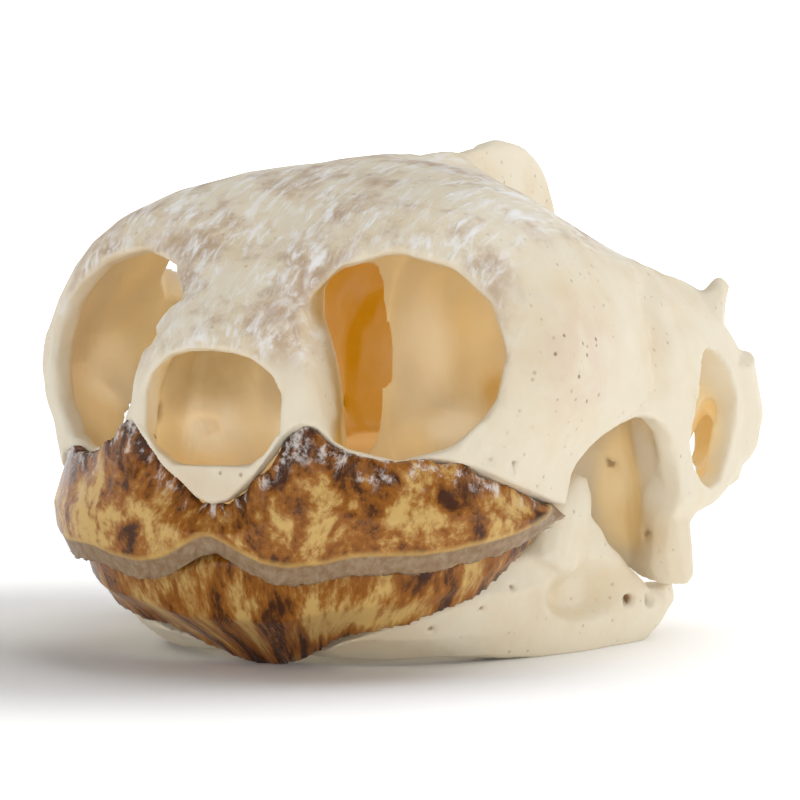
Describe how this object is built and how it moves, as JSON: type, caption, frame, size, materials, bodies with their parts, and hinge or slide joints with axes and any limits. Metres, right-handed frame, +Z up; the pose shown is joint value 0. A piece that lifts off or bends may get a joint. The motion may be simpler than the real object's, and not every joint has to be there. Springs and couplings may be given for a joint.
{
  "type": "turtle skull",
  "caption": "Dry pond turtle skull with closed jaws, open eye sockets and cheeks, a thin crest and mottled horn sheaths on both jaws.",
  "frame": {"origin": "middle of the skull's foot: the centre of its box at the level of the surface it rests on", "axes": "+Z up, snout towards -Y, the animal's left side towards +X"},
  "size_m": [0.0336, 0.0426, 0.0273],
  "materials": {
    "skull_bone": "dry cream bone, chalky white streaks on the roof, amber inside",
    "jaw_bone": "dry cream bone, smooth",
    "upper_horn": "glossy horn mottled dark brown and tan",
    "lower_horn": "glossy horn mottled dark brown and tan"
  },
  "bodies": {
    "root": {"cranium": "skull_bone", "lower_jaw": "jaw_bone", "upper_beak_sheath": "upper_horn", "lower_beak_sheath": "lower_horn"}
  },
  "joints": []
}
